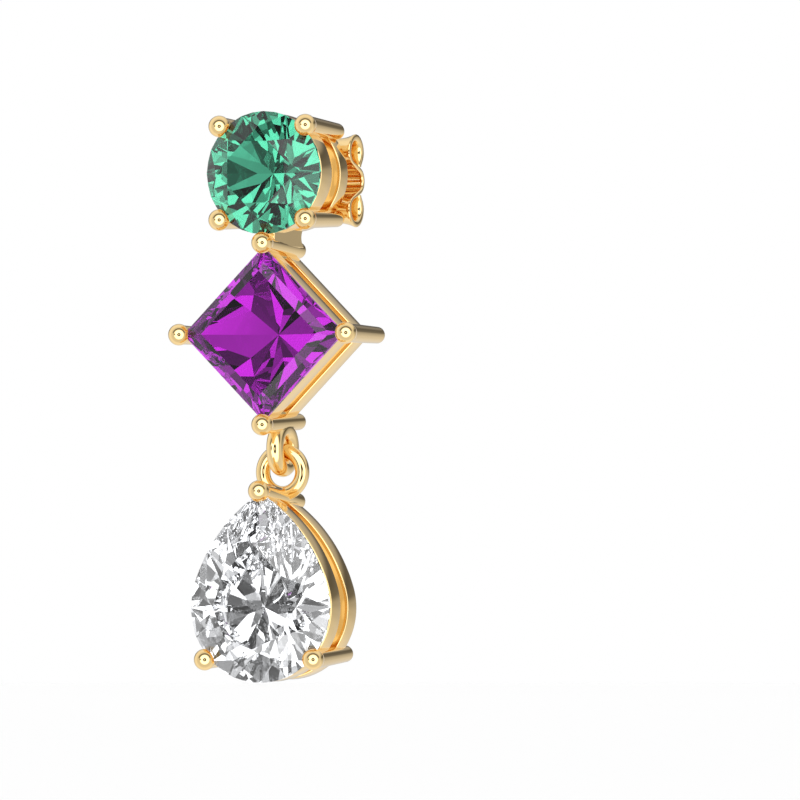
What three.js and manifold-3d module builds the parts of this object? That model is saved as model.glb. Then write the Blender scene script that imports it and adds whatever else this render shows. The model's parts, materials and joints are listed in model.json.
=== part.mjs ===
// A gold drop earring: a round stone on the ear, a square stone standing on its corner below it,
// and a pear stone that swings from a loop. Millimetres.
//
// Everything is drawn facing the viewer: x to the right, y up the earring, z out of the face.
// y = 0 is the ear post's axis and z = 0 is the back of the round basket. One quarter turn of the
// whole group about X then stands the earring up, with +Z up and the post along +Y.

import * as THREE from 'three';
import { mergeVertices } from 'three/addons/utils/BufferGeometryUtils.js';
import Module from 'manifold-3d';

const wasm = await Module();
wasm.setup();

// Stones
const ROUND_DIAMETER = 5.0;
const SQUARE_SIDE = 5.0;
const PEAR_WIDTH = 6.1;
const PEAR_SIDE_RADIUS = 6.68; // the long arcs that run up to the pear's tip
const PEAR_SHOULDER = THREE.MathUtils.degToRad(17); // where those arcs leave the round end
const STONE_GAP = 0.04; // between a stone and the metal cut to hold it
const GIRDLE = 0.16; // thickness of a stone's edge
const GIRDLE_BEHIND_BALLS = 0.18;

// Heights of the centres, measured down from the round stone's centre
const ROUND_Y = 0.2; // the round stone's centre above the post's axis
const SQUARE_DROP = 6.54;
const LOOP_DROP = 11.17;
const PEAR_DROP = 17.64;

// Prongs: a shaft that leans in towards the back, with a ball on its front end
const BALL_DIAMETER = 0.88;
const SHAFT_FRONT_RADIUS = 0.39;
const SHAFT_BACK_RADIUS = 0.34;
const SHAFT_BACK_ROUNDING = 0.1;
const PRONG_SIDES = 16;

// Baskets. Depths are measured back from the plane of the basket's ball centres.
const BASKET_DEPTH = 3.6;
const RAIL_THICKNESS = 0.7;
const WALL_THICKNESS = 0.3; // of the wall that joins the two rails, behind a groove
const GROOVE = 0.2; // depth of that groove, in from the back rail
const ROUND_BASKET = {
  ballZ: BASKET_DEPTH, prongRadius: 2.69, depth: 3.62, lean: 0.18,
  frontRail: { from: 0.45, to: 1.5, inset: 0.07 },
  backRail: { from: 2.7, to: 3.5, inset: 0.2 },
};
const SQUARE_BASKET = {
  ballZ: BASKET_DEPTH, prongRadius: 3.69, depth: 3.8, lean: 0.2,
  frontRail: { from: 0.4, to: 1.4, inset: 0.05 },
  backRail: { from: 2.25, to: 3.25, inset: 0.1 },
};
const PEAR_BASKET = {
  ballZ: 3.93, prongStandOff: 0.14, tipStandOff: 0.07, depth: 4.07, lean: 0.38,
  frontRail: { from: 0.5, to: 1.45, inset: 0.05 },
  backRail: { from: 2.4, to: 3.3, inset: 0.14 },
};
const PEAR_LOWER_PRONG = THREE.MathUtils.degToRad(-41.4);

// Bridge between the round basket and the square one's top prong
const BRIDGE = { halfWidth: 0.36, top: 2.15, bottom: 2.95, front: 0.45, back: 3.45, hollow: 0.25 };

// Linked loops, in the plane that crosses the middle of the baskets
const LOOP_DEPTH = 2.1;
const LOOP_RADIUS = 0.8; // of the upper loop, to the middle of its wire
const LOOP_WIRE = 0.35; // wire radius
const RING_RADIUS = 0.865;
const RING_WIRE = 0.295;
const LINK_GAP = 0.07;
const LINK_SIDES = 16;
const WIRE_SIDES = 6;

// Ear post, its crossbar and the butterfly clutch
const POST_RADIUS = 0.375;
const POST_LENGTH = 5.6; // behind the basket
const CROSSBAR = { halfLength: 2.1, height: 0.9, front: 0.7, back: 0.1 };
const CLUTCH = {
  halfWidth: 2.28, gapToBasket: 0.3, sheet: 0.2, boreGap: 0.075,
  lobeHeight: 1.13, lobeRadius: 0.465, backStraight: 0.55, backTaper: 0.07,
  valleyDepth: 1.32, valleyRadius: 0.47, flare: 0.2, flarePower: 5,
};

// Colours, as polished yellow gold and three glassy stones
const GOLD = { color: 0xd9b26a, metalness: 1, roughness: 0.15 };
const GREEN = { color: 0x4fb58c, metalness: 0, roughness: 0.05 };
const PURPLE = { color: 0x8a2b96, metalness: 0, roughness: 0.05 };
const CLEAR = { color: 0xe8eaee, metalness: 0, roughness: 0.03 };

const polar = (radius, angle) => new THREE.Vector2(radius * Math.cos(angle), radius * Math.sin(angle));
const raised = (point, z) => new THREE.Vector3(point.x, point.y, z);
const turns = (count, start) => Array.from({ length: count }, (_, i) => start + (i * 2 * Math.PI) / count);

// Solids

function solidOf(geometry) {
  geometry.deleteAttribute('normal');
  geometry.deleteAttribute('uv');
  const merged = mergeVertices(geometry, 1e-5);
  return new wasm.Manifold(new wasm.Mesh({
    numProp: 3,
    vertProperties: new Float32Array(merged.attributes.position.array),
    triVerts: new Uint32Array(merged.index.array),
  }));
}

function geometryOf(solid) {
  const { vertProperties, triVerts } = solid.simplify(1e-3).getMesh();
  const geometry = new THREE.BufferGeometry();
  geometry.setAttribute('position', new THREE.BufferAttribute(new Float32Array(vertProperties), 3));
  geometry.setIndex(new THREE.BufferAttribute(new Uint32Array(triVerts), 1));
  geometry.computeVertexNormals();
  return geometry;
}

const joined = (solids) => solids.reduce((whole, solid) => whole.add(solid));

// Outlines, counterclockwise, moved in by `inset`

const circleOutline = (radius, sides) => (inset) =>
  turns(sides, 0).map((angle) => polar(radius - inset, angle));

const diamondOutline = (side) => (inset) =>
  turns(4, 0).map((angle) => polar((side / 2 - inset) * Math.SQRT2, angle));

// The pear: a round end about the origin, and two long arcs that meet at the tip
const PEAR_RADIUS = PEAR_WIDTH / 2;
const pearArcCentre = polar(PEAR_SIDE_RADIUS - PEAR_RADIUS, Math.PI + PEAR_SHOULDER);

function pearOutline(inset) {
  const sideRadius = PEAR_SIDE_RADIUS - inset;
  const tipAngle = Math.acos(-pearArcCentre.x / sideRadius);
  const outline = new THREE.Path();
  outline.absarc(pearArcCentre.x, pearArcCentre.y, sideRadius, PEAR_SHOULDER, tipAngle);
  outline.absarc(-pearArcCentre.x, pearArcCentre.y, sideRadius, Math.PI - tipAngle, Math.PI - PEAR_SHOULDER);
  outline.absarc(0, 0, PEAR_RADIUS - inset, Math.PI - PEAR_SHOULDER, 2 * Math.PI + PEAR_SHOULDER);
  const points = outline.getPoints(14);
  return points.filter((point, i) => point.distanceTo(points[(i + 1) % points.length]) > 1e-6);
}

// The point of the pear's outline in one direction from the middle of its round end
function pearAt(angle) {
  const way = polar(1, angle);
  if (way.y <= Math.sin(PEAR_SHOULDER)) {
    return { point: way.clone().multiplyScalar(PEAR_RADIUS), normal: way };
  }
  const centre = new THREE.Vector2(Math.sign(way.x || 1) * pearArcCentre.x, pearArcCentre.y);
  const along = way.dot(centre);
  const reach = along + Math.sqrt(along ** 2 - centre.lengthSq() + PEAR_SIDE_RADIUS ** 2);
  const point = way.multiplyScalar(reach);
  const onTip = Math.abs(point.x) < 1e-6;
  return { point, normal: onTip ? new THREE.Vector2(0, 1) : point.clone().sub(centre).normalize() };
}

// Cut stones. A blank of the stone's outline is ground flat, one facet after another.

function grind(stone, [a, b, c], grow) {
  const plane = new THREE.Plane().setFromCoplanarPoints(a, b, c);
  if (plane.constant > 0) plane.negate(); // now the normal points away from the stone's middle
  return stone.trimByPlane(plane.normal.clone().negate().toArray(), plane.constant - grow);
}

function blank(outline, grow, top, bottom) {
  const shape = new THREE.Shape(outline(-grow));
  const geometry = new THREE.ExtrudeGeometry(shape, { depth: top - bottom + 2 * grow, bevelEnabled: false });
  return solidOf(geometry.translate(0, 0, bottom - grow));
}

// Height of a plane through three points, over one point of the XY plane
function heightOver([a, b, c], point) {
  const { normal, constant } = new THREE.Plane().setFromCoplanarPoints(a, b, c);
  return -(constant + normal.x * point.x + normal.y * point.y) / normal.z;
}

// A brilliant: eight main facets with a star and two halves between each pair, on crown and pavilion.
// `at` gives the outline's point and normal in a direction, and mains start at angle `first`.
function brilliant({ outline, at, first, table, crown, pavilion, starReach, halfReach }, grow = 0) {
  const half = GIRDLE / 2;
  const mains = turns(8, first).map((angle) => at(angle));
  const mids = turns(8, first + Math.PI / 8).map((angle) => at(angle).point);
  const tableTop = half + crown;
  const culet = new THREE.Vector3(0, 0, -half - pavilion);
  const corner = ({ point }) => raised(point.clone().multiplyScalar(table), tableTop);
  const main = ({ point, normal }, edge, end) =>
    [raised(point, edge), new THREE.Vector3(point.x - normal.y, point.y + normal.x, edge), end];

  let stone = blank(outline, grow, tableTop, -half - pavilion);
  mains.forEach((here, i) => {
    const next = mains[(i + 1) % mains.length];
    const mid = mids[i];
    const crownMains = [here, next].map((m) => main(m, half, corner(m)));
    const starPoint = mid.clone().multiplyScalar(starReach);
    const star = raised(starPoint, Math.min(...crownMains.map((facet) => heightOver(facet, starPoint))));
    const pavilionMains = [here, next].map((m) => main(m, -half, culet));
    const lowPoint = mid.clone().multiplyScalar(halfReach);
    const low = raised(lowPoint, Math.max(...pavilionMains.map((facet) => heightOver(facet, lowPoint))));
    const facets = [
      crownMains[0],
      [corner(here), corner(next), star],
      ...[here, next].map((m) => [raised(m.point, half), raised(mid, half), star]),
      pavilionMains[0],
      ...[here, next].map((m) => [raised(m.point, -half), raised(mid, -half), low]),
    ];
    stone = facets.reduce((left, facet) => grind(left, facet, grow), stone);
  });
  return stone;
}

// A princess cut standing on its corner: a kite at each corner and two steps on each side of the
// crown, and nested chevrons down each side of the pavilion.
function princess(cut, grow = 0) {
  const { outline, side, table, crown, stepReach, stepRise, pavilionProfile, pavilion } = cut;
  const half = GIRDLE / 2;
  const tableTop = half + crown;
  const corners = turns(4, 0).map((angle) => polar(side / Math.SQRT2, angle));
  const middles = turns(4, Math.PI / 4).map((angle) => polar(side / 2, angle));

  let stone = blank(outline, grow, tableTop, -half - pavilion);
  corners.forEach((corner, i) => {
    const next = corners[(i + 1) % corners.length];
    const middle = middles[i];
    const tableCorners = [corner, next].map((point) =>
      raised(point.clone().multiplyScalar(table), tableTop));
    const step = raised(middle.clone().multiplyScalar(stepReach), half + stepRise * crown);
    const across = raised(corner.clone().add(new THREE.Vector2(-corner.y, corner.x)), half);
    const profile = pavilionProfile.map(({ reach, depth }) =>
      raised(middle.clone().multiplyScalar(reach), -half - depth * pavilion));
    const chevrons = profile.slice(1).flatMap((low, k) =>
      [corner, next].map((point) => [raised(point, -half), profile[k], low]));
    const facets = [
      [raised(corner, half), across, tableCorners[0]],
      [...tableCorners, step],
      [raised(corner, half), raised(next, half), step],
      ...chevrons,
    ];
    stone = facets.reduce((left, facet) => grind(left, facet, grow), stone);
  });
  return stone;
}

// Settings

// A prong from its ball's centre to the middle of its back end
function prong(front, back) {
  const ball = BALL_DIAMETER / 2;
  const length = front.distanceTo(back);
  const neck = -Math.acos(SHAFT_FRONT_RADIUS / ball);
  const profile = [
    new THREE.Vector2(0, 0),
    new THREE.Vector2(SHAFT_BACK_RADIUS - SHAFT_BACK_ROUNDING, 0),
    new THREE.Vector2(SHAFT_BACK_RADIUS, SHAFT_BACK_ROUNDING),
  ];
  const steps = 6;
  for (let i = 0; i < steps; i += 1) {
    const angle = neck + ((Math.PI / 2 - neck) * i) / steps;
    profile.push(new THREE.Vector2(ball * Math.cos(angle), length + ball * Math.sin(angle)));
  }
  profile.push(new THREE.Vector2(0, length + ball));
  const geometry = new THREE.LatheGeometry(profile, PRONG_SIDES);
  const way = front.clone().sub(back).normalize();
  geometry.applyQuaternion(new THREE.Quaternion().setFromUnitVectors(new THREE.Vector3(0, 1, 0), way));
  return solidOf(geometry.translate(back.x, back.y, back.z));
}

function rail(outline, { from, to, inset, thickness = RAIL_THICKNESS }, ballZ) {
  const shape = new THREE.Shape(outline(inset));
  shape.holes.push(new THREE.Path(outline(inset + thickness)));
  const geometry = new THREE.ExtrudeGeometry(shape, { depth: to - from, bevelEnabled: false });
  return solidOf(geometry.translate(0, 0, ballZ - to));
}

// Two rails of one outline, the wall between them, and a prong at each of `feet`, given as points of
// the XY plane
function basket({ ballZ, depth, lean, frontRail, backRail }, outline, feet) {
  const prongs = feet.map((foot) => {
    const back = foot.clone().setLength(foot.length() - lean);
    return prong(raised(foot, ballZ), raised(back, ballZ - depth));
  });
  const wall = {
    from: (frontRail.from + frontRail.to) / 2, to: (backRail.from + backRail.to) / 2,
    inset: backRail.inset + GROOVE, thickness: WALL_THICKNESS,
  };
  return joined([...[frontRail, backRail, wall].map((band) => rail(outline, band, ballZ)), ...prongs]);
}

function bridge() {
  const { halfWidth, top, bottom, front, back, hollow } = BRIDGE;
  const zFront = BASKET_DEPTH - front;
  const zBack = BASKET_DEPTH - back;
  const side = new THREE.Shape();
  side.moveTo(zBack, -bottom);
  side.lineTo(zFront, -bottom);
  side.lineTo(zFront, -top);
  side.lineTo(zBack, -top);
  side.quadraticCurveTo(zBack + 2 * hollow, -(top + bottom) / 2, zBack, -bottom);
  const extrusion = { depth: 2 * halfWidth, bevelEnabled: false, curveSegments: 6 };
  const geometry = new THREE.ExtrudeGeometry(side, extrusion);
  geometry.applyMatrix4(new THREE.Matrix4().makeBasis(
    new THREE.Vector3(0, 0, 1), new THREE.Vector3(0, 1, 0), new THREE.Vector3(-1, 0, 0)));
  return solidOf(geometry.translate(halfWidth, ROUND_Y, 0));
}

function post() {
  const profile = [
    new THREE.Vector2(0, 0),
    new THREE.Vector2(POST_RADIUS * 0.6, 0),
    new THREE.Vector2(POST_RADIUS, POST_RADIUS * 0.6),
    new THREE.Vector2(POST_RADIUS, POST_LENGTH + CROSSBAR.front / 2),
    new THREE.Vector2(0, POST_LENGTH + CROSSBAR.front / 2),
  ];
  const geometry = new THREE.LatheGeometry(profile, PRONG_SIDES);
  return solidOf(geometry.rotateX(Math.PI / 2).translate(0, 0, -POST_LENGTH));
}

function crossbar() {
  const { halfLength, height, front, back } = CROSSBAR;
  const geometry = new THREE.BoxGeometry(2 * halfLength, height, front - back);
  return solidOf(geometry.translate(0, 0, (front + back) / 2));
}

// Loops: the upper one stands edge-on to the viewer, and the lower one faces the viewer

const loopZ = BASKET_DEPTH - LOOP_DEPTH;
const loopY = ROUND_Y - LOOP_DROP;
const pivotY = loopY - LOOP_RADIUS;
const ringY = pivotY + LOOP_WIRE + RING_WIRE + LINK_GAP - RING_RADIUS;

function upperLoop() {
  const geometry = new THREE.TorusGeometry(LOOP_RADIUS, LOOP_WIRE, WIRE_SIDES, LINK_SIDES);
  return solidOf(geometry.rotateY(Math.PI / 2).translate(0, loopY, loopZ));
}

function lowerRing() {
  const geometry = new THREE.TorusGeometry(RING_RADIUS, RING_WIRE, WIRE_SIDES, LINK_SIDES);
  return solidOf(geometry.translate(0, ringY, loopZ));
}

// Butterfly clutch: one sheet bent into a front lobe, a valley round the post and a second lobe

// Half of the sheet's middle line, from the free end of the upper scroll to the bottom of the
// valley, as points (distance behind the clutch's front, height above the post)
function clutchHalfLine() {
  const { sheet, lobeHeight, lobeRadius, backStraight, backTaper, valleyDepth, valleyRadius } = CLUTCH;
  const lobe = new THREE.Vector2(sheet / 2 + lobeRadius, lobeHeight);
  const valley = new THREE.Vector2(valleyDepth - valleyRadius, 0);
  const apart = lobe.clone().sub(valley);
  const tangent = apart.angle() - Math.acos((lobeRadius + valleyRadius) / apart.length());
  const line = new THREE.Path();
  line.moveTo(lobe.x + lobeRadius - backTaper, lobeHeight - backStraight);
  line.lineTo(lobe.x + lobeRadius, lobeHeight);
  line.absarc(lobe.x, lobe.y, lobeRadius, 0, tangent + Math.PI);
  line.absarc(valley.x, valley.y, valleyRadius, tangent, 0, true);
  const points = line.getPoints(10);
  return points.filter((point, i) => i === 0 || point.distanceTo(points[i - 1]) > 1e-6);
}

// A closed outline that runs `thickness` wide along an open line
function ribbon(line, thickness) {
  const sides = [1, -1].map((side) => line.map((point, i) => {
    const before = line[Math.max(i - 1, 0)];
    const after = line[Math.min(i + 1, line.length - 1)];
    const way = after.clone().sub(before).normalize();
    const out = new THREE.Vector2(-way.y, way.x);
    return point.clone().addScaledVector(out, (side * thickness) / 2);
  }));
  return new THREE.Shape([...sides[0], ...sides[1].reverse()]);
}

function clutch() {
  const { halfWidth, gapToBasket, sheet, boreGap, lobeHeight, lobeRadius, flare, flarePower } = CLUTCH;
  const half = clutchHalfLine();
  const mirrored = half.slice(0, -1).reverse().map((point) => new THREE.Vector2(point.x, -point.y));
  const shape = ribbon([...half, ...mirrored], sheet);
  const extrusion = { depth: 2 * halfWidth, steps: 10, bevelEnabled: false };
  const geometry = new THREE.ExtrudeGeometry(shape, extrusion);

  // The scrolls flare towards both ends
  const position = geometry.attributes.position;
  const lobeX = sheet / 2 + lobeRadius;
  for (let i = 0; i < position.count; i += 1) {
    const point = new THREE.Vector2(position.getX(i), position.getY(i));
    const lobe = new THREE.Vector2(lobeX, Math.sign(point.y) * lobeHeight);
    const end = Math.abs(position.getZ(i) / halfWidth - 1) ** flarePower;
    const near = THREE.MathUtils.smoothstep(Math.abs(point.y), 0.5 * lobeHeight, lobeHeight);
    const moved = point.add(point.clone().sub(lobe).multiplyScalar((end * near * flare) / lobeRadius));
    position.setXY(i, moved.x, moved.y);
  }
  geometry.translate(0, 0, -halfWidth);
  geometry.applyMatrix4(new THREE.Matrix4().makeBasis(
    new THREE.Vector3(0, 0, -1), new THREE.Vector3(0, 1, 0), new THREE.Vector3(1, 0, 0)));
  const bore = new THREE.CylinderGeometry(POST_RADIUS + boreGap, POST_RADIUS + boreGap, 4, PRONG_SIDES);
  bore.rotateX(Math.PI / 2).translate(0, 0, -2);
  return solidOf(geometry.translate(0, 0, -gapToBasket)).subtract(solidOf(bore));
}

// The three stones, each with the place of its centre

const roundCut = {
  outline: circleOutline(ROUND_DIAMETER / 2, 32),
  at: (angle) => ({ point: polar(ROUND_DIAMETER / 2, angle), normal: polar(1, angle) }),
  first: Math.PI / 8, table: 0.541, crown: 0.78, pavilion: 2.15, starReach: 0.75, halfReach: 0.23,
};
const squareCut = {
  outline: diamondOutline(SQUARE_SIDE), side: SQUARE_SIDE, table: 0.72, crown: 0.46, stepReach: 0.86,
  stepRise: 0.6, pavilion: 2.85,
  pavilionProfile: [
    { reach: 1, depth: 0 },
    { reach: 0.82, depth: 0.29 },
    { reach: 0.54, depth: 0.62 },
    { reach: 0, depth: 1 },
  ],
};
const pearCut = {
  outline: pearOutline, at: pearAt, first: Math.PI / 2,
  table: 0.56, crown: 0.86, pavilion: 2.6, starReach: 0.76, halfReach: 0.23,
};

const places = {
  round: new THREE.Vector3(0, ROUND_Y, ROUND_BASKET.ballZ - GIRDLE_BEHIND_BALLS),
  square: new THREE.Vector3(0, ROUND_Y - SQUARE_DROP, SQUARE_BASKET.ballZ - GIRDLE_BEHIND_BALLS),
  pear: new THREE.Vector3(0, ROUND_Y - PEAR_DROP, PEAR_BASKET.ballZ - GIRDLE_BEHIND_BALLS),
};
const seated = (stone, place) => stone.translate(place.toArray());

function studSetting() {
  const { prongRadius: roundReach } = ROUND_BASKET;
  const { prongRadius: squareReach } = SQUARE_BASKET;
  const roundFeet = turns(4, Math.PI / 4).map((angle) => polar(roundReach, angle));
  const squareFeet = turns(4, 0).map((angle) => polar(squareReach, angle));
  const roundRails = circleOutline(ROUND_DIAMETER / 2, 48);
  const squareRails = diamondOutline(SQUARE_SIDE);
  const metal = joined([
    basket(ROUND_BASKET, roundRails, roundFeet).translate([0, ROUND_Y, 0]),
    basket(SQUARE_BASKET, squareRails, squareFeet).translate([0, ROUND_Y - SQUARE_DROP, 0]),
    bridge(), upperLoop(), crossbar(), post(),
  ]);
  return metal
    .subtract(seated(brilliant(roundCut, STONE_GAP), places.round))
    .subtract(seated(princess(squareCut, STONE_GAP), places.square));
}

function dropSetting() {
  const { prongStandOff, tipStandOff } = PEAR_BASKET;
  const lowerFoot = polar(PEAR_RADIUS + prongStandOff, PEAR_LOWER_PRONG);
  const feet = [
    new THREE.Vector2(0, pearAt(Math.PI / 2).point.y + tipStandOff),
    lowerFoot,
    new THREE.Vector2(-lowerFoot.x, lowerFoot.y),
  ];
  const place = [0, ROUND_Y - PEAR_DROP, 0];
  const metal = basket(PEAR_BASKET, pearOutline, feet).translate(place).add(lowerRing());
  return metal.subtract(seated(brilliant(pearCut, STONE_GAP), places.pear));
}

function piece(name, solid, look) {
  const mesh = new THREE.Mesh(geometryOf(solid), new THREE.MeshStandardMaterial(look));
  mesh.name = name;
  return mesh;
}

const group = new THREE.Group();
group.rotation.x = Math.PI / 2;
group.add(
  piece('stud_setting', studSetting(), GOLD),
  piece('round_stone', seated(brilliant(roundCut), places.round), GREEN),
  piece('square_stone', seated(princess(squareCut), places.square), PURPLE),
  piece('drop_setting', dropSetting(), GOLD),
  piece('pear_stone', seated(brilliant(pearCut), places.pear), CLEAR),
  piece('clutch', clutch(), GOLD),
);

export default group;
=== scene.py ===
"""A gold drop earring with a round, a square and a pear stone, hung over a pale floor.

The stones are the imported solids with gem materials. The gold is surfaces worked out with numpy on
grids, fused piece by piece and cut to seat the stones. Everything is in metres, in the earring's
own frame: X to the right of someone facing it, Y back along the ear post and Z up.
"""

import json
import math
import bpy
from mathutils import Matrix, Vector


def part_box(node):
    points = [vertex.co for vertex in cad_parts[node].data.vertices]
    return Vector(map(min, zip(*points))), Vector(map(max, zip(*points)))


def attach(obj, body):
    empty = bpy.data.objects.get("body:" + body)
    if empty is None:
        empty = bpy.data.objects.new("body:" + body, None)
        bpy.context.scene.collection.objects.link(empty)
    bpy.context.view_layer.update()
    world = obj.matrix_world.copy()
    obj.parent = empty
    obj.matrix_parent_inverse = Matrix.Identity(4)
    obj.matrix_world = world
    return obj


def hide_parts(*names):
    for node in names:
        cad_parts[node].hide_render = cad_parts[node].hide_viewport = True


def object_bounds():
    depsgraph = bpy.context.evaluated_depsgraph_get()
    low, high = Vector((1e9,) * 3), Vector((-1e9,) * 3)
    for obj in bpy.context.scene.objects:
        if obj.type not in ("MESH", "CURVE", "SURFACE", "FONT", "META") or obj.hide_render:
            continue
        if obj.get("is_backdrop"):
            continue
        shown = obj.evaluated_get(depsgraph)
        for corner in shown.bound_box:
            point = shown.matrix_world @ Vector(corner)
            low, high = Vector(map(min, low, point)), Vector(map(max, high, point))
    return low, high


bl_info = {
    "name": "Drop Earring",
    "version": (1, 0, 0),
    "blender": (4, 5, 0),
    "location": "View3D > Sidebar > Drop Earring",
    "description": "Makes the gold, the gem finishes and the stage of a three-stone drop earring",
    "category": "Add Mesh",
}

import bpy
import numpy as np
from bpy.props import FloatProperty, FloatVectorProperty, PointerProperty
from mathutils import Matrix, Vector

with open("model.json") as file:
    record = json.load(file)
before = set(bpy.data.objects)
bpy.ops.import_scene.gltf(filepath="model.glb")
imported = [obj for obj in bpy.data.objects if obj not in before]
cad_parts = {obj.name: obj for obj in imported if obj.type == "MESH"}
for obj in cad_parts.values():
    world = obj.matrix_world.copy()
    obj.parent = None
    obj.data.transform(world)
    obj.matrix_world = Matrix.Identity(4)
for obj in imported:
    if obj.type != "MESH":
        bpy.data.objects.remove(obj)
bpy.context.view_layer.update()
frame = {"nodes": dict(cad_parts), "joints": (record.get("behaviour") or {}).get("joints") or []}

MM = 0.001
TAU = 2 * math.pi

# Radius of the pear stone's round end, which its box doesn't give
PEAR_RADIUS = 3.05 * MM


def length(name, description, default):
    """A property that holds a size, with its default given in millimetres."""
    return FloatProperty(
        name=name, description=description, default=default * MM, unit="LENGTH", precision=5
    )


def angle(name, description, default):
    """A property that holds an angle, with its default given in degrees."""
    return FloatProperty(
        name=name, description=description, default=math.radians(default), unit="ROTATION"
    )


def colour(name, description, default):
    """A property that holds a linear colour."""
    return FloatVectorProperty(
        name=name, description=description, default=default, subtype="COLOR", size=3, min=0, max=1
    )


# Sizes and colours that a user would change


class EARRING_PG_prongs(bpy.types.PropertyGroup):
    ball: length("Ball radius", "Radius of the ball on a prong's tip", 0.44)
    front: length("Front radius", "Radius of a prong just behind its ball", 0.39)
    back: length("Back radius", "Radius of a prong at its back end", 0.34)
    rounding: length("End rounding", "Rounding of a prong's back end", 0.13)


class EARRING_PG_rails(bpy.types.PropertyGroup):
    thickness: length("Thickness", "Thickness of a basket's rails, seen from the front", 0.7)
    wall: length("Wall", "Thickness of the wall between the rails", 0.3)
    groove: length("Groove", "Depth of the groove between the rails, in from the back one", 0.2)
    edge: length("Edge rounding", "Rounding of the rails' long edges", 0.06)
    pear_side: length("Pear side radius", "Radius of the long arcs up to the pear's tip", 6.68)
    pear_shoulder: angle("Pear shoulder", "Where the long arcs leave the pear's round end", 17)


class EARRING_PG_links(bpy.types.PropertyGroup):
    loop: length("Loop radius", "Radius of the upper loop, to the middle of its wire", 0.8)
    loop_wire: length("Loop wire", "Radius of the upper loop's wire", 0.35)
    ring: length("Ring radius", "Radius of the lower ring, to the middle of its wire", 0.865)
    ring_wire: length("Ring wire", "Radius of the lower ring's wire", 0.295)
    gap: length("Gap", "Gap between the two wires where they hang in each other", 0.07)


class EARRING_PG_clutch(bpy.types.PropertyGroup):
    half_width: length("Half width", "Half of the clutch's width", 2.28)
    front: length("Front", "Distance from the basket's back to the clutch", 0.3)
    sheet: length("Sheet", "Thickness of the clutch's sheet", 0.2)
    bore: length("Bore radius", "Radius of the hole for the post", 0.45)
    lobe_height: length("Lobe height", "Height of a scroll's centre above the post", 1.13)
    lobe_radius: length("Lobe radius", "Radius of a scroll, to the middle of the sheet", 0.465)
    valley_depth: length("Valley depth", "How far back the sheet dips at the post", 1.32)
    valley_radius: length("Valley radius", "Radius of that dip, to the middle of the sheet", 0.47)
    flare: length("Flare", "How far the scrolls open at their ends", 0.2)


class EARRING_PG_colours(bpy.types.PropertyGroup):
    gold: colour("Gold", "Polished yellow gold", (0.86, 0.63, 0.3))
    green: colour("Green stone", "What the round stone lets through", (0.075, 0.45, 0.28))
    purple: colour("Purple stone", "What the square stone lets through", (0.34, 0.012, 0.41))
    clear: colour("Clear stone", "What the pear stone lets through", (0.85, 0.86, 0.88))
    floor: colour("Floor", "The pale floor", (0.92, 0.92, 0.92))


class EARRING_PG_studio(bpy.types.PropertyGroup):
    azimuth: angle("Azimuth", "Direction of the camera as the earring sees it", 23.6)
    distance: length("Distance", "Distance from the camera to the earring", 481)
    field: angle("Field of view", "Angle that the picture spans", 3.86)
    across: angle("Turn", "How far the camera turns away from the earring to its side", 0.666)
    up: angle("Tilt", "How far the camera looks up", 1.365)
    floor_drop: length("Floor drop", "Height of the earring's lowest point over the floor", 0.1)


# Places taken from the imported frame


def middle(node):
    """The middle of a node's box."""
    low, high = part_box(node)
    return (low + high) / 2


def half_size(node):
    """Half of the size of a node's box along X, Y and Z."""
    low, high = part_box(node)
    return (high - low) / 2


class Basket:
    """One basket, with its two rails and its prongs.

    `up` is the height of the outline's middle and `balls` the depth Y of the ball centres. A prong
    is `depth` long and leans in by `lean` on its way back from its foot, a point (x, z) round the
    middle. `outline` maps insets to closed outlines. Rails are (from, to, inset) in millimetres,
    with the first two measured back from the ball centres.
    """

    def __init__(self, up, balls, depth, lean, rails, outline, feet):
        self.up, self.balls, self.depth, self.lean = up, balls, depth, lean
        self.rails, self.outline, self.feet = rails, outline, feet


def polar(radius, turn):
    """Points (x, z) at a radius and an angle, for arrays of either."""
    return np.stack([radius * np.cos(turn), radius * np.sin(turn)], axis=-1)


def circle_outline(radius, steps=192):
    """A circle's points, each moved in by every inset: (radius - inset) times (cos t, sin t)."""
    turn = np.linspace(0, TAU, steps, endpoint=False)[:, None]
    return lambda inset: polar(radius - inset[None, :], turn)


def diamond_outline(half_side, steps=24):
    """A square on its corner: straight runs between corners at (half side - inset) times root 2."""
    corner = np.repeat(np.arange(4), steps)
    along = np.tile(np.arange(steps) / steps, 4)[:, None]
    here, there = polar(1.0, corner * TAU / 4), polar(1.0, (corner + 1) * TAU / 4)
    unit = here * (1 - along) + there * along
    return lambda inset: unit[:, None, :] * ((half_side - inset) * math.sqrt(2))[None, :, None]


def pear_outline(radius, side, shoulder, steps=96):
    """A pear: an arc of `radius` round the origin, and two arcs of radius `side` up to the tip.

    Each side arc leaves the round end at the angle `shoulder` in the same direction, so its centre
    lies (side - radius) back along that angle, and it ends where it meets the other one at x = 0.
    """
    reach = side - radius
    centre = -reach * np.array([math.cos(shoulder), math.sin(shoulder)])

    def outline(inset):
        share = np.linspace(0, 1, steps, endpoint=False)[:, None]
        tip = np.arccos(-centre[0] / (side - inset))[None, :]
        right = centre + polar(side - inset[None, :], shoulder + share * (tip - shoulder))
        left = right[::-1] * (-1, 1)
        top = np.stack([np.zeros_like(inset), centre[1] + (side - inset) * np.sin(tip[0])], axis=-1)
        left = np.concatenate([top[None], left[:-1]])
        turn = np.linspace(math.pi - shoulder, TAU + shoulder, 2 * steps, endpoint=False)[:, None]
        return np.concatenate([right, left, polar(radius - inset[None, :], turn)])

    return outline


# Surfaces


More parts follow.
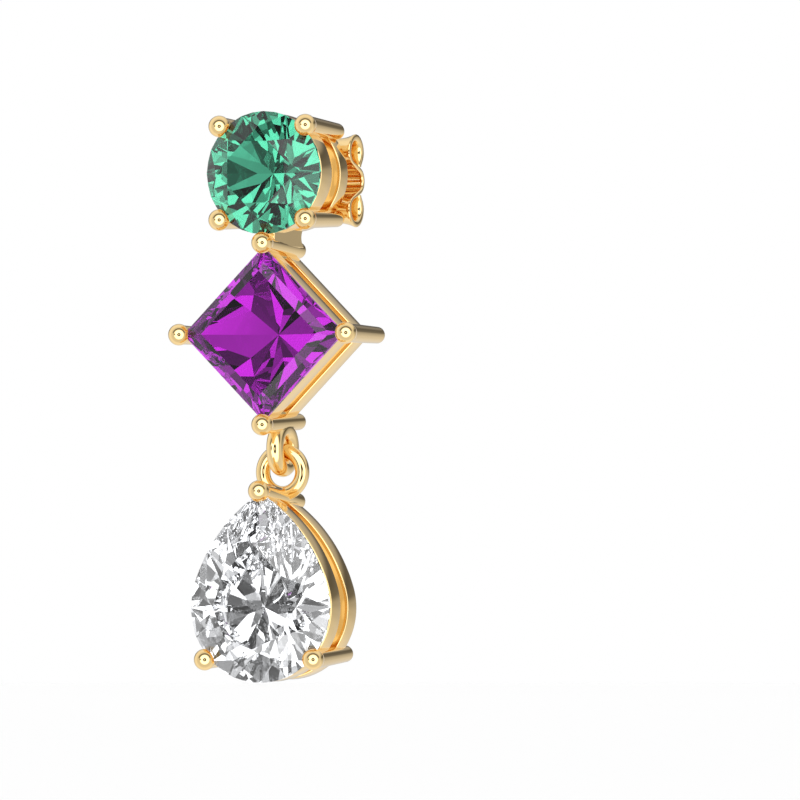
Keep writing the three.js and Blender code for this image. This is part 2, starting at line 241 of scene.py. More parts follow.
def faces_of(rows, columns, rows_closed):
    """Quads over a grid whose columns close on themselves, and whose rows may."""
    row = np.arange(rows if rows_closed else rows - 1)[:, None]
    column = np.arange(columns)[None, :]
    next_row, next_column = (row + 1) % rows, (column + 1) % columns
    quads = np.stack(
        [row * columns + column, next_row * columns + column,
         next_row * columns + next_column, row * columns + next_column], axis=-1
    )
    return quads.reshape(-1, 4).tolist()


def signed_volume(points, faces):
    """Sum over the faces of the volume that each one spans with the origin."""
    total = 0.0
    for size in {len(face) for face in faces}:
        loops = points[np.array([face for face in faces if len(face) == size])]
        for k in range(1, size - 1):
            total += np.einsum("ij,ij->", loops[:, 0], np.cross(loops[:, k], loops[:, k + 1]))
    return total / 6


def surface(name, grid, rows_closed=False):
    """A closed mesh object from a grid of points (row, column, xyz) whose columns close.

    Open rows end in flat faces over the first and the last row. Faces are turned to point out.
    """
    rows, columns = grid.shape[:2]
    points = grid.reshape(-1, 3)
    faces = faces_of(rows, columns, rows_closed)
    if not rows_closed:
        faces.append(list(range(columns)))
        faces.append([rows * columns - 1 - k for k in range(columns)])
    if signed_volume(points, faces) < 0:
        faces = [face[::-1] for face in faces]
    mesh = bpy.data.meshes.new(name)
    mesh.from_pydata(points.tolist(), [], faces)
    mesh.update()
    part = bpy.data.objects.new(name, mesh)
    bpy.context.scene.collection.objects.link(part)
    return part


def rounded_box_section(low, high, edge, steps=5):
    """Points round a rectangle from `low` to `high` whose corners are quarter circles of `edge`.

    Each of the four corners has `steps` points.
    """
    low, high = np.array(low), np.array(high)
    corners = np.array([[high[0], high[1]], [low[0], high[1]], [low[0], low[1]], [high[0], low[1]]])
    inward = np.array([[-1, -1], [1, -1], [1, 1], [-1, 1]]) * edge
    turn = np.linspace(0, TAU / 4, steps)[None, :] + np.arange(4)[:, None] * TAU / 4
    return ((corners + inward)[:, None, :] + polar(edge, turn)).reshape(-1, 2)


def rail(name, basket, start, end, inset, thickness, edge):
    """A flat band that follows an outline: the section's points are (inset, depth) pairs.

    Each point of the section runs round the basket on the outline moved in by its inset.
    """
    section = rounded_box_section((inset, start), (inset + thickness, end), edge)
    flat = basket.outline(section[:, 0])
    depth = np.broadcast_to(basket.balls + section[:, 1], flat.shape[:2])
    grid = np.stack([flat[..., 0], depth, flat[..., 1] + basket.up], axis=-1)
    return surface(name, grid, rows_closed=True)


def turned(name, profile, base, way, sides=64):
    """A turned surface: the profile's (radius, height) pairs swept round a line from `base`."""
    way = Vector(way).normalized()
    side = way.orthogonal().normalized()
    other = way.cross(side)
    turn = np.linspace(0, TAU, sides, endpoint=False)[None, :, None]
    ring = np.cos(turn) * np.array(side) + np.sin(turn) * np.array(other)
    radius, height = profile[:, 0][:, None, None], profile[:, 1][:, None, None]
    return surface(name, np.array(base) + height * np.array(way) + radius * ring)


def bezier(points, steps):
    """A cubic curve through four control points, without its two ends."""
    t = np.linspace(0, 1, steps + 2)[1:-1, None]
    weights = ((1 - t) ** 3, 3 * t * (1 - t) ** 2, 3 * t**2 * (1 - t), t**3)
    return sum(weight * np.array(point) for weight, point in zip(weights, points))


# A prong's profile. Angles round the ball's centre where its arc starts and ends, and in ball
# radii: from that centre back to the shaft's end, and the handles of the curve between them.
BALL_START, BALL_END = math.radians(-14), TAU / 4 * 0.985
SHAFT_END, SHAFT_HANDLE, BALL_HANDLE = 0.75, 0.25, 0.22


def prong(name, ball_centre, back, sizes):
    """A straight taper from a rounded back end to a ball.

    The profile is a quarter circle at the back, a line, a cubic curve that swells into the ball,
    and the ball's arc from there round to the axis.
    """
    reach = (ball_centre - back).length
    quarter = polar(sizes.rounding, np.linspace(-TAU / 4, 0, 9))
    end = quarter + (sizes.back - sizes.rounding, sizes.rounding)
    ball = polar(sizes.ball, np.linspace(BALL_START, BALL_END, 40)) + (0, reach)
    neck = np.array([sizes.front, reach - SHAFT_END * sizes.ball])
    share = np.linspace(0, 1, 16)[1:, None]
    shaft = end[-1] * (1 - share) + neck * share
    run = (neck - end[-1]) / np.linalg.norm(neck - end[-1]) * SHAFT_HANDLE * sizes.ball
    turn = polar(BALL_HANDLE * sizes.ball, BALL_START + TAU / 4)
    swell = bezier([neck, neck + run, ball[0] - turn, ball[0]], 8)
    return turned(name, np.concatenate([end, shaft, swell, ball]), back, ball_centre - back)


def ring_of_wire(name, centre, radius, wire, first, second, around=128, sides=48):
    """A torus: a circle of `radius` spanned by two directions, carrying a circle of `wire`."""
    first, second = np.array(first, float), np.array(second, float)
    normal = np.cross(first, second)
    turn = np.linspace(0, TAU, around, endpoint=False)[:, None, None]
    roll = np.linspace(0, TAU, sides, endpoint=False)[None, :, None]
    out = np.cos(turn) * first + np.sin(turn) * second
    grid = np.array(centre) + out * (radius + wire * np.cos(roll)) + normal * wire * np.sin(roll)
    return surface(name, grid, rows_closed=True)


def bar(name, side_outline, half_width, edge, steps=6):
    """An outline in the YZ plane carried along X, drawn in near both ends by a quarter circle.

    A point between two sides with inward normals m and n moves in along (m + n) / (1 + m . n),
    which keeps both sides parallel to where they were.
    """
    way = np.roll(side_outline, -1, 0) - side_outline
    after = np.stack([-way[:, 1], way[:, 0]], axis=-1) / np.linalg.norm(way, axis=1)[:, None]
    before = np.roll(after, 1, 0)
    inward = (before + after) / (1 + (before * after).sum(axis=1))[:, None]
    turn = np.linspace(0, TAU / 4, steps)
    rows = np.stack([half_width - edge + edge * np.sin(turn), edge * (1 - np.cos(turn))], axis=-1)
    rows = np.concatenate([rows[::-1] * (1, 1), rows * (-1, 1)])
    flat = side_outline[None] + inward[None] * rows[:, 1][:, None, None]
    across = np.broadcast_to(rows[:, 0][:, None], flat.shape[:2])
    return surface(name, np.stack([across, flat[..., 0], flat[..., 1]], axis=-1))


# Joining and cutting

# Edges that bend more than this stay sharp
SHARP_ANGLE = math.radians(28)


def boolean(whole, other, operation):
    """Joins `other` to `whole`, or cuts it out of it, and removes `other`."""
    step = whole.modifiers.new("step", "BOOLEAN")
    step.operation, step.object, step.solver = operation, other, "MANIFOLD"
    graph = bpy.context.evaluated_depsgraph_get()
    graph.update()
    mesh = bpy.data.meshes.new_from_object(whole.evaluated_get(graph))
    if not mesh.polygons:
        raise RuntimeError(f"{operation} of {other.name} with {whole.name} left nothing")
    whole.modifiers.clear()
    old, whole.data = whole.data, mesh
    bpy.data.meshes.remove(old)
    bpy.data.meshes.remove(other.data)


def fused(name, parts, cutters=()):
    """One smooth body from overlapping parts, less the cutters, sharp only where parts meet.

    Normals are weighted by face area, so that flat faces stay flat beside their rounded edges.
    """
    whole = parts[0]
    for part in parts[1:]:
        boolean(whole, part, "UNION")
    for cutter in cutters:
        boolean(whole, cutter, "DIFFERENCE")
    whole.name = whole.data.name = name
    whole.data.shade_smooth()
    whole.data.set_sharp_from_angle(angle=SHARP_ANGLE)
    flats = whole.modifiers.new("flats", "WEIGHTED_NORMAL")
    flats.keep_sharp = True
    return whole


def seat_cutter(node, gap=0.04 * MM):
    """A stone's own shape grown by `gap`, to cut its seat in the metal."""
    mesh = frame["nodes"][node].data.copy()
    cutter = bpy.data.objects.new(node + "_seat", mesh)
    bpy.context.scene.collection.objects.link(cutter)
    centre = middle(node)
    weld = cutter.modifiers.new("weld", "WELD")
    weld.merge_threshold = 1e-7
    graph = bpy.context.evaluated_depsgraph_get()
    cutter.data = bpy.data.meshes.new_from_object(cutter.evaluated_get(graph))
    cutter.modifiers.clear()
    grow = [1 + gap / half for half in half_size(node)]
    cutter.data.transform(
        Matrix.Translation(centre) @ Matrix.Diagonal((*grow, 1)) @ Matrix.Translation(-centre)
    )
    return cutter


def finish_metal(piece, body, *nodes):
    """Gives a gold piece its material and body, and hides the node that it stands for.

    Gold isn't seen through the stones, so their colour stays clean.
    """
    piece.visible_transmission = False
    piece.data.materials.clear()
    piece.data.materials.append(gold_material())
    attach(piece, body)
    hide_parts(*nodes)


# Materials


def group_socket(group, name, direction, kind, default=None):
    """Adds an input or output to a node group."""
    socket = group.interface.new_socket(name=name, in_out=direction, socket_type=kind)
    if default is not None:
        socket.default_value = default
    return socket


def link(tree, output, target):
    """Links one socket to another."""
    tree.links.new(output, target)


def polish_group():
    """Traces of polishing: a cloudy film and fine scratches.

    The film is broad noise and the scratches are noise stretched along one direction. Outputs are
    a mask of the film, a roughness between the two given ones, and a height for a bump.
    """
    existing = bpy.data.node_groups.get("Polish traces")
    if existing:
        return existing
    group = bpy.data.node_groups.new("Polish traces", "ShaderNodeTree")
    group_socket(group, "Vector", "INPUT", "NodeSocketVector")
    group_socket(group, "Film Scale", "INPUT", "NodeSocketFloat", 900.0)
    group_socket(group, "Scratch Scale", "INPUT", "NodeSocketFloat", 4000.0)
    group_socket(group, "Roughness Low", "INPUT", "NodeSocketFloat", 0.05)
    group_socket(group, "Roughness High", "INPUT", "NodeSocketFloat", 0.12)
    group_socket(group, "Mask", "OUTPUT", "NodeSocketFloat")
    group_socket(group, "Roughness", "OUTPUT", "NodeSocketFloat")
    group_socket(group, "Height", "OUTPUT", "NodeSocketFloat")
    nodes = group.nodes
    inputs, outputs = nodes.new("NodeGroupInput"), nodes.new("NodeGroupOutput")
    film, scratch = nodes.new("ShaderNodeTexNoise"), nodes.new("ShaderNodeTexNoise")
    film.inputs["Detail"].default_value = 3.0
    scratch.inputs["Detail"].default_value = 2.0
    stretch = nodes.new("ShaderNodeMapping")
    stretch.inputs["Rotation"].default_value = (0.5, 0.9, 0.3)
    stretch.inputs["Scale"].default_value = (1.0, 0.04, 1.0)
    level = nodes.new("ShaderNodeMapRange")
    link(group, inputs.outputs["Vector"], film.inputs["Vector"])
    link(group, inputs.outputs["Film Scale"], film.inputs["Scale"])
    link(group, inputs.outputs["Vector"], stretch.inputs["Vector"])
    link(group, stretch.outputs["Vector"], scratch.inputs["Vector"])
    link(group, inputs.outputs["Scratch Scale"], scratch.inputs["Scale"])
    link(group, film.outputs["Fac"], level.inputs["Value"])
    level.inputs["From Min"].default_value = 0.35
    level.inputs["From Max"].default_value = 0.65
    link(group, inputs.outputs["Roughness Low"], level.inputs["To Min"])
    link(group, inputs.outputs["Roughness High"], level.inputs["To Max"])
    link(group, film.outputs["Fac"], outputs.inputs["Mask"])
    link(group, level.outputs["Result"], outputs.inputs["Roughness"])
    link(group, scratch.outputs["Fac"], outputs.inputs["Height"])
    return group


def traced_material(name, colour_low, colour_high, film, scratch, roughness, bump=None):
    """A material whose colour, roughness and bump follow the polish traces.

    Returns the material and its Principled shader, which the caller finishes.
    """
    material = bpy.data.materials.new(name)
    material.use_nodes = True
    tree = material.node_tree
    shader = tree.nodes["Principled BSDF"]
    place = tree.nodes.new("ShaderNodeTexCoord")
    traces = tree.nodes.new("ShaderNodeGroup")
    traces.node_tree = polish_group()
    traces.inputs["Film Scale"].default_value = film
    traces.inputs["Scratch Scale"].default_value = scratch
    traces.inputs["Roughness Low"].default_value = roughness[0]
    traces.inputs["Roughness High"].default_value = roughness[1]
    tint = tree.nodes.new("ShaderNodeMix")
    tint.data_type = "RGBA"
    tint.inputs["A"].default_value = (*colour_low, 1)
    tint.inputs["B"].default_value = (*colour_high, 1)
    link(tree, place.outputs["Object"], traces.inputs["Vector"])
    link(tree, traces.outputs["Mask"], tint.inputs["Factor"])
    link(tree, tint.outputs["Result"], shader.inputs["Base Color"])
    link(tree, traces.outputs["Roughness"], shader.inputs["Roughness"])
    if bump:
        relief = tree.nodes.new("ShaderNodeBump")
        relief.inputs["Strength"].default_value = bump
        relief.inputs["Distance"].default_value = 0.002 * MM
        link(tree, traces.outputs["Height"], relief.inputs["Height"])
        link(tree, relief.outputs["Normal"], shader.inputs["Normal"])
    return material, shader


def gold_material():
    """Polished yellow gold with a faint film and hairline scratches."""
    existing = bpy.data.materials.get("polished_gold")
    if existing:
        return existing
    gold = np.array(bpy.context.scene.earring_colours.gold)
    material, shader = traced_material(
        "polished_gold", gold * 0.97, np.minimum(gold * 1.03, 1), 900, 5000, (0.04, 0.09), 0.1
    )
    shader.inputs["Metallic"].default_value = 1.0
    return material


# What each stone's light does: index of refraction, density of the tint, and how much of the
# outside its facets mirror
GEMS = {"green": (1.62, 40, 0.75), "purple": (1.6, 40, 0.65), "clear": (2.42, 20, 0.7)}


def gem_material(kind, tint):
    """A clear cut stone, tinted where light goes in and out and a little more along its way.

    Rays mirrored by the gold go straight through the stone, so no green or purple gets into the
    gold.
    """
    ior, density, shine = GEMS[kind]
    material, shader = traced_material(
        f"{kind}_gem", [v * 0.97 for v in tint], tint, 500, 9000, (0.0, 0.0015)
    )
    tree = material.node_tree
    path = tree.nodes.new("ShaderNodeLightPath")
    outside = maths(tree, "LESS_THAN", path.outputs["Transmission Depth"], 0.5)
    mirrored = maths(tree, "MULTIPLY", path.outputs["Is Glossy Ray"], outside)
    link(tree, maths(tree, "SUBTRACT", 1.0, mirrored), shader.inputs["Alpha"])
    shader.inputs["Transmission Weight"].default_value = 1.0
    shader.inputs["IOR"].default_value = ior
    shader.inputs["Specular Tint"].default_value = (shine, shine, shine, 1)
    depth = tree.nodes.new("ShaderNodeVolumeAbsorption")
    depth.inputs["Color"].default_value = (*tint, 1)
    depth.inputs["Density"].default_value = density
    link(tree, depth.outputs["Volume"], tree.nodes["Material Output"].inputs["Volume"])
    return material


def set_stone(node, material):
    """Gives a packed stone its gem material."""
    stone = frame["nodes"][node]
    stone.data.materials.clear()
    stone.data.materials.append(material)


# Operators


class EARRING_OT_stones(bpy.types.Operator):
    """Gives the three packed stones their gem materials"""

    bl_idname = "earring.stones"
    bl_label = "Stones"

    def execute(self, context):
        colours = context.scene.earring_colours
        set_stone("round_stone", gem_material("green", colours.green))
        set_stone("square_stone", gem_material("purple", colours.purple))
        set_stone("pear_stone", gem_material("clear", colours.clear))
        return {"FINISHED"}


def basket_parts(name, basket, context):
    """The two rails and the prongs of a basket."""
    rails, prongs = context.scene.earring_rails, context.scene.earring_prongs
    (start, front_end, _), (back_start, end, back_inset) = basket.rails
    parts = [
        rail(f"{name}_rail_{i}", basket, *(v * MM for v in band), rails.thickness, rails.edge)
        for i, band in enumerate(basket.rails)
    ]
    wall = ((start + front_end) / 2 * MM, (back_start + end) / 2 * MM, back_inset * MM + rails.groove)
    parts.append(rail(f"{name}_wall", basket, *wall, rails.wall, rails.edge))
    for i, foot in enumerate(basket.feet):
        reach = np.linalg.norm(foot)
        back = foot * (1 - basket.lean / reach)
        ball_centre = Vector((foot[0], basket.balls, foot[1] + basket.up))
        end = Vector((back[0], basket.balls + basket.depth, back[1] + basket.up))
        parts.append(prong(f"{name}_prong_{i}", ball_centre, end, prongs))
    return parts


def loop_places(context):
    """The height of the upper loop and of the lower ring, and their depth, from the hinge."""
    links = context.scene.earring_links
    hinge = next(joint for joint in frame["joints"] if joint["name"] == "drop_swing")
    _, depth, pivot = hinge["pos_m"]
    ring = pivot + links.loop_wire + links.ring_wire + links.gap - links.ring
    return pivot + links.loop, ring, depth


class EARRING_OT_stud_setting(bpy.types.Operator):
    """Makes the round and the square basket, the bridge, the loop, the crossbar and the post"""

    bl_idname = "earring.stud_setting"
    bl_label = "Stud setting"

    def execute(self, context):
        links = context.scene.earring_links
        prongs = context.scene.earring_prongs
        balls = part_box("stud_setting")[0].y + prongs.ball
        round_radius = half_size("round_stone").x
        half_diagonal = half_size("square_stone").x
        round_basket = Basket(
            up=middle("round_stone").z, balls=balls, depth=3.62 * MM, lean=0.18 * MM,
            rails=[(0.45, 1.5, 0.07), (2.7, 3.5, 0.2)], outline=circle_outline(round_radius),
            feet=polar(round_radius + 0.19 * MM, TAU / 8 + np.arange(4) * TAU / 4),
        )
        square_basket = Basket(
            up=middle("square_stone").z, balls=balls, depth=3.8 * MM, lean=0.2 * MM,
            rails=[(0.4, 1.4, 0.05), (2.25, 3.25, 0.1)],
            outline=diamond_outline(half_diagonal / math.sqrt(2)),
            feet=polar(half_diagonal + 0.154 * MM, np.arange(4) * TAU / 4),
        )
        loop_up, _, loop_depth = loop_places(context)
        parts = [
            *basket_parts("round", round_basket, context),
            *basket_parts("square", square_basket, context),
            bridge(round_basket),
            ring_of_wire(
                "loop", (0, loop_depth, loop_up), links.loop, links.loop_wire, (0, 1, 0), (0, 0, 1)
            ),
            crossbar(),
            post(),
        ]
        piece = fused("stud_gold", parts, [seat_cutter("round_stone"), seat_cutter("square_stone")])
        finish_metal(piece, "stud", "stud_setting")
        return {"FINISHED"}


def bridge(basket, start=0.45 * MM, end=3.45 * MM, above=2.15 * MM, below=2.95 * MM,
           hollow=0.25 * MM, half_width=0.36 * MM, edge=0.03 * MM, steps=12):
    """The web between the baskets: a block whose back is hollowed by a parabola.

    `start` and `end` are measured back from the ball centres, `above` and `below` down from the
    round basket's middle to the block's top and bottom.
    """
    front, back = basket.balls + start, basket.balls + end
    top, bottom = basket.up - above, basket.up - below
    rise = np.linspace(0, 1, steps, endpoint=False)
    rear = np.stack([back - hollow * 4 * rise * (1 - rise), bottom + rise * (top - bottom)], axis=-1)
    corners = [(back, top), (front, top), (front, bottom), (back, bottom)]
    runs = [np.linspace(*pair, steps, endpoint=False) for pair in zip(corners, corners[1:])]
    return bar("bridge", np.concatenate([rear, *runs]), half_width, edge)


def crossbar(front=-0.7 * MM, back=-0.1 * MM, half_height=0.45 * MM, rounding=0.06 * MM,
             half_width=2.1 * MM, edge=0.02 * MM):
    """A plain bar across the back rail, which carries the post."""
    section = rounded_box_section((front, -half_height), (back, half_height), rounding)
    return bar("crossbar", section, half_width, edge)


def post(radius=0.375 * MM, tip=5.6 * MM, root=-0.4 * MM, dome=0.3 * MM):
    """The ear post: a cylinder whose tip is half an ellipse, `dome` deep."""
    turn = np.linspace(0.02, TAU / 4, 16)
    profile = np.stack([radius * np.sin(turn), dome * (1 - np.cos(turn))], axis=-1)
    profile = np.concatenate([profile, [[radius, tip - root]]])
    return turned("post", profile, (0, tip, 0), (0, -1, 0))


class EARRING_OT_drop_setting(bpy.types.Operator):
    """Makes the pear basket and the ring that links it to the loop above"""

    bl_idname = "earring.drop_setting"
    bl_label = "Drop setting"

    def execute(self, context):
        links, rails = context.scene.earring_links, context.scene.earring_rails
        prongs = context.scene.earring_prongs
        low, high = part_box("pear_stone")
        up = low.z + PEAR_RADIUS
        lower = polar(PEAR_RADIUS + 0.14 * MM, math.radians(-41.4))
        basket = Basket(
            up=up, balls=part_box("drop_setting")[0].y + prongs.ball, depth=4.07 * MM, lean=0.38 * MM,
            rails=[(0.5, 1.45, 0.05), (2.4, 3.3, 0.14)],
            outline=pear_outline(PEAR_RADIUS, rails.pear_side, rails.pear_shoulder),
            feet=np.array([(0, high.z - up + 0.07 * MM), lower, lower * (-1, 1)]),
        )
        _, ring_up, ring_depth = loop_places(context)
        parts = [
            *basket_parts("pear", basket, context),
            ring_of_wire(
                "ring", (0, ring_depth, ring_up), links.ring, links.ring_wire, (1, 0, 0), (0, 0, 1)
            ),
        ]
        piece = fused("drop_gold", parts, [seat_cutter("pear_stone")])
        finish_metal(piece, "drop", "drop_setting")
        return {"FINISHED"}


def clutch_line(sizes, steps=60, straight=0.55 * MM, taper=0.07 * MM):
    """The middle line of the clutch's sheet, as (distance behind its front, height) pairs.

    From the free end of the upper scroll it runs up by `straight` and back by `taper`, round the
    scroll's circle to the front, down along the common tangent of that circle and the valley's, and
    round the valley. The lower half mirrors it.
    """
    lobe = np.array([sizes.sheet / 2 + sizes.lobe_radius, sizes.lobe_height])
    valley = np.array([sizes.valley_depth - sizes.valley_radius, 0.0])
    apart = lobe - valley
    reach = np.linalg.norm(apart)
    lean = math.acos((sizes.lobe_radius + sizes.valley_radius) / reach)
    tangent = math.atan2(apart[1], apart[0]) - lean
    start = lobe + (sizes.lobe_radius - taper, -straight)
    share = np.linspace(0, 1, 16, endpoint=False)[:, None]
    rise = start + (lobe + (sizes.lobe_radius, 0) - start) * share
    scroll = lobe + polar(sizes.lobe_radius, np.linspace(0, tangent + math.pi, steps))
    dip = valley + polar(sizes.valley_radius, np.linspace(tangent, 0, steps // 2))
    run = scroll[-1] + (dip[0] - scroll[-1]) * np.linspace(0, 1, 16)[1:-1, None]
    half = np.concatenate([rise, scroll, run, dip])
    return np.concatenate([half, half[-2::-1] * (1, -1)])


# The scrolls' flare grows with this power of the distance from the clutch's middle
FLARE_POWER = 5


class EARRING_OT_clutch(bpy.types.Operator):
    """Makes the butterfly clutch from one bent sheet"""

    bl_idname = "earring.clutch"
    bl_label = "Clutch"

    def execute(self, context):
        sizes = context.scene.earring_clutch
        line = clutch_line(sizes)
        way = np.gradient(line, axis=0)
        out = np.stack([-way[:, 1], way[:, 0]], axis=-1) / np.linalg.norm(way, axis=1)[:, None]
        half, thick = sizes.half_width, sizes.sheet / 2
        edge = 0.9 * thick
        corners = np.split(rounded_box_section((-half, -thick), (half, thick), edge), 4)
        widths = np.linspace(-(half - edge), half - edge, 40)[1:-1]
        flat_top = np.stack([widths[::-1], np.full(widths.size, thick)], axis=-1)
        flat_bottom = np.stack([widths, np.full(widths.size, -thick)], axis=-1)
        section = np.concatenate([corners[0], flat_top, *corners[1:3], flat_bottom, corners[3]])
        flat = line[:, None, :] + out[:, None, :] * section[None, :, 1, None]
        lobe_depth = np.full(flat.shape[:2], thick + sizes.lobe_radius)
        lobe = np.stack([lobe_depth, np.sign(flat[..., 1]) * sizes.lobe_height], axis=-1)
        near = np.clip((np.abs(flat[..., 1]) / sizes.lobe_height - 0.5) / 0.5, 0, 1)
        near = near * near * (3 - 2 * near)
        end = np.abs(section[:, 0] / half) ** FLARE_POWER
        flat = flat + (flat - lobe) * (end * near * sizes.flare / sizes.lobe_radius)[..., None]
        across = np.broadcast_to(section[:, 0], flat.shape[:2])
        grid = np.stack([across, sizes.front + flat[..., 0], flat[..., 1]], axis=-1)
        sheet = surface("clutch_sheet", grid)
        bore_profile = np.array([[sizes.bore, 0.0], [sizes.bore, 4 * MM]])
        bore = turned("clutch_bore", bore_profile, (0, 0, 0), (0, 1, 0))
        piece = fused("clutch_gold", [sheet], [bore])
        finish_metal(piece, "clutch", "clutch")
        return {"FINISHED"}


class EARRING_OT_stage(bpy.types.Operator):
    """Makes the pale floor, the studio light and the camera"""

    bl_idname = "earring.stage"
    bl_label = "Stage"

    def execute(self, context):
        scene = context.scene
        floor(scene)
        studio_world(scene)
        camera(scene)
        scene.view_settings.view_transform = "Standard"
        scene.cycles.max_bounces = 24
        scene.cycles.transmission_bounces = 20
        scene.cycles.glossy_bounces = 20
        scene.cycles.caustics_reflective = True
        scene.cycles.caustics_refractive = True
        scene.cycles.use_denoising = True
        return {"FINISHED"}


# Floor, light and camera

# Directions of the lamp and of the dark slot beside it (azimuth and elevation in degrees), and the
# light's levels. Each list pairs what the level depends on (radians off the axis, a share of the
# direction, or the panes' noise) with the level.
LAMP_AXIS = (23.6, -1.0)
LAMP_LEVELS = [(math.radians(v), level) for v, level in (
    (5, 1.9), (8, 0.05), (16, 0.05), (21, 3.1), (44, 3.1), (57, 1.05), (80, 1.1), (105, 1.4), (150, 1.1)
)]
ARC_LEVELS = [(math.radians(v), level) for v, level in ((54, 0), (60, 0.75), (70, 0.75), (78, 0))]
ABOVE = [(0.12, 0), (0.35, 1)]
SLOT_AXIS = (-23.6, 2.0)
SLOT_LEVELS = [(math.radians(v), level) for v, level in ((6, 0.2), (13, 1.0))]
REAR_LEVELS = [
    (-1.0, 1.4), (-0.45, 1.2), (-0.2, 0.95), (-0.05, 0.74), (0.05, 0.56), (0.15, 0.22), (0.27, 0.16),
    (0.4, 0.62), (0.6, 1.1), (1.0, 1.3),
]
BEHIND = [(0.2, 0), (0.7, 1)]
GLOW, GLOW_SHARE, GLOW_AFTER = 1.5, 0.8, 2.5
PANE_SCALE = 4.5
PANE_SHIFT = (15.7, 17.9, 15.2)
PANES = [(0.41, 0.01), (0.46, 0.28), (0.52, 0.95), (0.58, 3.0)]
FLOOR_LIGHT = 1.24
FLOOR_RADIUS = 6.0
# From the earring's front back to the point that the camera's azimuth and distance are measured from
AIM_DEPTH = 1.09 * MM


def floor(scene):
    """A wide pale disc below the earring."""
    turn = np.linspace(0, TAU, 96, endpoint=False)
    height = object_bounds()[0].z - scene.earring_studio.floor_drop
    rim = np.concatenate([polar(FLOOR_RADIUS, turn), np.full((turn.size, 1), height)], axis=1)
    mesh = bpy.data.meshes.new("floor")
    mesh.from_pydata(rim.tolist(), [], [list(range(turn.size))])
    disc = bpy.data.objects.new("floor", mesh)
    scene.collection.objects.link(disc)
    material = bpy.data.materials.new("pale_floor")
    material.use_nodes = True
    shader = material.node_tree.nodes["Principled BSDF"]
    shader.inputs["Base Color"].default_value = (*scene.earring_colours.floor, 1)
    shader.inputs["Roughness"].default_value = 0.7
    shader.inputs["Specular IOR Level"].default_value = 0.0
    mesh.materials.append(material)
    disc.visible_glossy = disc.visible_transmission = False
    disc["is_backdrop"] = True


def studio_world(scene):
    """A white room for the camera, and for everything else a tent of light.

    Round the lamp's axis the level goes bright, dark, bright and then down to the tent's own, by
    the angle off that axis. An arc further out, a slot on the other side and a band behind the
    earring are darker, and light that has bounced often finds a glow. What is seen through the
    stones is noise with its offset shifted, levelled into dark and bright panes.
    """
    world = bpy.data.worlds.new("studio")
    scene.world = world
    world.use_nodes = True
    tree = world.node_tree
    tree.nodes.clear()
    out = tree.nodes.new("ShaderNodeOutputWorld")
    white, tent = tree.nodes.new("ShaderNodeBackground"), tree.nodes.new("ShaderNodeBackground")
    white.inputs["Color"].default_value = (1, 1, 1, 1)
    choose = tree.nodes.new("ShaderNodeMixShader")
    path = tree.nodes.new("ShaderNodeLightPath")
    place = tree.nodes.new("ShaderNodeTexCoord")
    way = place.outputs["Generated"]
    apart = tree.nodes.new("ShaderNodeSeparateXYZ")
    link(tree, way, apart.inputs["Vector"])
    off = maths(tree, "ARCCOSINE", axis_share(tree, way, *LAMP_AXIS))
    lamp = ramp(tree, off, LAMP_LEVELS)
    above = ramp(tree, apart.outputs["Z"], ABOVE)
    arc = maths(tree, "MULTIPLY", ramp(tree, off, ARC_LEVELS), above)
    slot = ramp(tree, maths(tree, "ARCCOSINE", axis_share(tree, way, *SLOT_AXIS)), SLOT_LEVELS)
    lit = maths(tree, "MULTIPLY", lamp, maths(tree, "SUBTRACT", 1.0, arc))
    room = maths(tree, "MULTIPLY", lit, slot)
    rear = ramp(tree, apart.outputs["Z"], REAR_LEVELS)
    tent_level = mixed(tree, ramp(tree, apart.outputs["Y"], BEHIND), room, rear)
    again = maths(tree, "GREATER_THAN", path.outputs["Ray Depth"], GLOW_AFTER)
    tent_level = mixed(tree, maths(tree, "MULTIPLY", again, GLOW_SHARE), tent_level, GLOW)
    panes = tree.nodes.new("ShaderNodeTexNoise")
    panes.inputs["Scale"].default_value = PANE_SCALE
    panes.inputs["Detail"].default_value = 1.0
    shift = tree.nodes.new("ShaderNodeMapping")
    shift.inputs["Location"].default_value = PANE_SHIFT
    link(tree, way, shift.inputs["Vector"])
    link(tree, shift.outputs["Vector"], panes.inputs["Vector"])
    gem_level = ramp(tree, panes.outputs["Fac"], PANES)
    level = mixed(tree, path.outputs["Is Transmission Ray"], tent_level, gem_level)
    level = mixed(tree, path.outputs["Is Diffuse Ray"], level, FLOOR_LIGHT)
    link(tree, level, tent.inputs["Strength"])
    link(tree, path.outputs["Is Camera Ray"], choose.inputs["Fac"])
    link(tree, tent.outputs["Background"], choose.inputs[1])
    link(tree, white.outputs["Background"], choose.inputs[2])
    link(tree, choose.outputs["Shader"], out.inputs["Surface"])


def maths(tree, operation, *values):
    """A Math node over sockets or plain numbers; returns its output."""
    node = tree.nodes.new("ShaderNodeMath")
    node.operation = operation
    for target, value in zip(node.inputs, values):
        if isinstance(value, (int, float)):
            target.default_value = value
        else:
            link(tree, value, target)
    return node.outputs["Value"]


def mixed(tree, factor, first, second):
    """A level between two others, which may be sockets or numbers."""
    change = maths(tree, "MULTIPLY", factor, maths(tree, "SUBTRACT", second, first))
    return maths(tree, "ADD", first, change)


def axis_share(tree, way, azimuth, elevation):
    """The dot product of a direction with an axis given in degrees."""
    a, e = math.radians(azimuth), math.radians(elevation)
    dot = tree.nodes.new("ShaderNodeVectorMath")
    dot.operation = "DOT_PRODUCT"
    link(tree, way, dot.inputs[0])
    flat = math.cos(e)
    dot.inputs[1].default_value = (math.sin(a) * flat, -math.cos(a) * flat, math.sin(e))
    return dot.outputs["Value"]


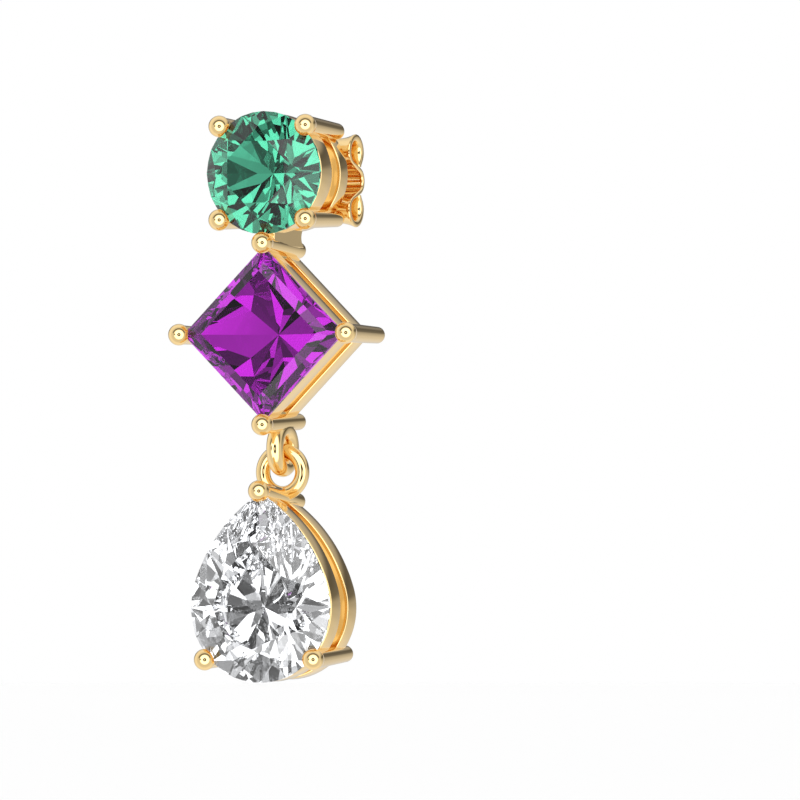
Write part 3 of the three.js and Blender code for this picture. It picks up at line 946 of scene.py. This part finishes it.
def ramp(tree, value, stops):
    """A level that goes through (value, level) stops, each step a smooth one."""
    total = None
    for (low, before), (high, after) in zip(stops, stops[1:]):
        step = tree.nodes.new("ShaderNodeMapRange")
        step.interpolation_type = "SMOOTHSTEP"
        link(tree, value, step.inputs["Value"])
        step.inputs["From Min"].default_value = low
        step.inputs["From Max"].default_value = high
        step.inputs["To Min"].default_value = before if total is None else 0.0
        step.inputs["To Max"].default_value = after if total is None else after - before
        change = step.outputs["Result"]
        total = change if total is None else maths(tree, "ADD", total, change)
    return total


def camera(scene):
    """A long lens at the height of the earring's lowest point, turned so that the earring sits left."""
    studio = scene.earring_studio
    data = bpy.data.cameras.new("camera")
    data.sensor_width = 36.0
    data.lens = data.sensor_width / 2 / math.tan(studio.field / 2)
    data.clip_start, data.clip_end = 0.001, 20.0
    view = bpy.data.objects.new("camera", data)
    scene.collection.objects.link(view)
    a = studio.azimuth
    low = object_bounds()[0]
    view.location = (
        math.sin(a) * studio.distance, low.y + AIM_DEPTH - math.cos(a) * studio.distance, low.z,
    )
    view.rotation_euler = (math.pi / 2 + studio.up, 0, a - studio.across)
    scene.camera = view


class EARRING_PT_panel(bpy.types.Panel):
    """Lists the sizes, the colours and the operators"""

    bl_label = "Drop Earring"
    bl_idname = "EARRING_PT_panel"
    bl_space_type = "VIEW_3D"
    bl_region_type = "UI"
    bl_category = "Drop Earring"

    def draw(self, context):
        for operator in OPERATORS:
            self.layout.operator(operator.bl_idname)
        for name, group in GROUPS.items():
            box = self.layout.box()
            box.label(text=name.replace("earring_", "").capitalize())
            for key in group.__annotations__:
                box.prop(getattr(context.scene, name), key)


GROUPS = {
    "earring_prongs": EARRING_PG_prongs,
    "earring_rails": EARRING_PG_rails,
    "earring_links": EARRING_PG_links,
    "earring_clutch": EARRING_PG_clutch,
    "earring_colours": EARRING_PG_colours,
    "earring_studio": EARRING_PG_studio,
}
OPERATORS = [
    EARRING_OT_stones,
    EARRING_OT_stud_setting,
    EARRING_OT_drop_setting,
    EARRING_OT_clutch,
    EARRING_OT_stage,
]


def register():
    for group in GROUPS.values():
        bpy.utils.register_class(group)
    for name, group in GROUPS.items():
        setattr(bpy.types.Scene, name, PointerProperty(type=group))
    for operator in OPERATORS:
        bpy.utils.register_class(operator)
    bpy.utils.register_class(EARRING_PT_panel)


def unregister():
    bpy.utils.unregister_class(EARRING_PT_panel)
    for operator in reversed(OPERATORS):
        bpy.utils.unregister_class(operator)
    for name in GROUPS:
        delattr(bpy.types.Scene, name)
    for group in reversed(list(GROUPS.values())):
        bpy.utils.unregister_class(group)


def main():
    """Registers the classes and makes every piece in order."""
    register()
    bpy.ops.earring.stones()
    bpy.ops.earring.stud_setting()
    bpy.ops.earring.drop_setting()
    bpy.ops.earring.clutch()
    bpy.ops.earring.stage()


if __name__ == "__main__":
    main()
